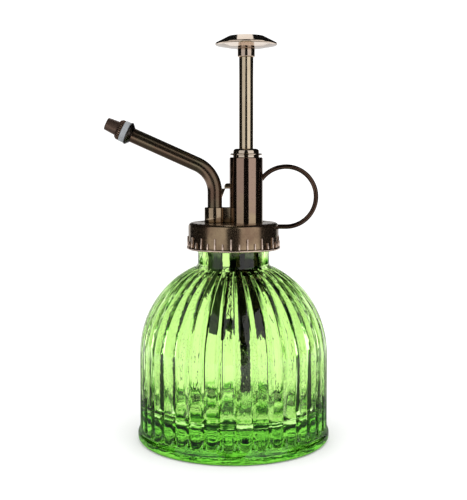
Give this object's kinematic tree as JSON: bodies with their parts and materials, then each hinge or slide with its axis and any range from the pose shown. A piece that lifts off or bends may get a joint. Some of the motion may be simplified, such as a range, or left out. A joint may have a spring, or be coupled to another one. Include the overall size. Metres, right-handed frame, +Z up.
{
  "type": "hand mister",
  "caption": "Ribbed glass bottle with a screw-on piston pump head: bent spout, adjustable nozzle, finger ring and sprung thumb plunger; sprays water by hand.",
  "frame": {"origin": "centre of the bottle's flat base, on the bottle's axis", "axes": "+Z up along the bottle's axis, -X towards the spout and nozzle, +X towards the finger ring, -Y the front"},
  "size_m": [0.0891, 0.076, 0.1586],
  "materials": {
    "green_glass": "clear, ribbed",
    "bronze": "antique bronze, satin",
    "spout_bronze": "dark antique bronze, satin",
    "ring_bronze": "dark antique bronze, satin",
    "rod_brass": "polished, pale gold",
    "nut_black": "satin",
    "washer_grey": "satin",
    "nozzle_brown": "matte",
    "tube_clear": "translucent grey",
    "tube_dark": "dark",
    "steel": "plain",
    "seal_black": "matte",
    "gasket_grey": "matte",
    "piston_white": "plain"
  },
  "bodies": {
    "bottle": {"glass_bottle": "green_glass"},
    "seal": {"cap_gasket": "gasket_grey"},
    "head": {"screw_cap": "bronze", "pump_barrel": "bronze", "valve_foot": "bronze", "inlet_cage": "steel", "gland_nut": "bronze", "gland_seal": "seal_black", "crossover_elbow": "tube_clear", "discharge_tube": "tube_clear", "outlet_cage": "steel", "dip_tube": "tube_dark", "spout_socket": "spout_bronze", "bridge_web": "spout_bronze", "spout_tube": "spout_bronze", "brace_arm": "spout_bronze", "spout_lug": "spout_bronze", "nozzle_nut": "nut_black", "finger_ring": "ring_bronze", "return_spring": "steel"},
    "plunger": {"plunger_rod": "rod_brass", "rod_ferrule": "bronze", "thumb_button": "bronze", "piston": "piston_white", "piston_seal": "seal_black"},
    "nozzle_seal": {"nozzle_washer": "washer_grey"},
    "nozzle": {"nozzle_tip": "nozzle_brown", "swirl_insert": "rod_brass"},
    "inlet_valve": {"inlet_ball": "steel"},
    "outlet_valve": {"outlet_ball": "steel"}
  },
  "joints": [
    {"name": "head_lift", "type": "slide", "parent": "bottle", "child": "seal", "axis": [0, 0, 1], "range_m": [0, 0.00401]},
    {"name": "head_turn", "type": "hinge", "parent": "seal", "child": "head", "pos_m": [0, 0, 0.075], "axis": [0, 0, 1], "range_deg": [0, 450]},
    {"name": "plunger_push", "type": "slide", "parent": "head", "child": "plunger", "axis": [0, 0, -1], "range_m": [0, 0.034], "stiffness_N_per_m": 150, "springref_m": -0.01, "deforming": ["return_spring"]},
    {"name": "nozzle_travel", "type": "slide", "parent": "head", "child": "nozzle_seal", "axis": [-0.9121, 0, 0.4099], "range_m": [0, 0.00112]},
    {"name": "nozzle_turn", "type": "hinge", "parent": "nozzle_seal", "child": "nozzle", "pos_m": [-0.0399, 0, 0.11987], "axis": [-0.9121, 0, 0.4099], "range_deg": [0, 541]},
    {"name": "inlet_lift", "type": "slide", "parent": "head", "child": "inlet_valve", "axis": [0, 0, 1], "range_m": [0, 0.0012]},
    {"name": "outlet_lift", "type": "slide", "parent": "head", "child": "outlet_valve", "axis": [0, 0, 1], "range_m": [0, 0.0012]}
  ],
  "couplings": [
    {"joint": "head_lift", "follows": "head_turn", "m_per_rad": 0.0005093},
    {"joint": "nozzle_turn", "follows": "nozzle_travel", "rad_per_m": 8377.6}
  ]
}
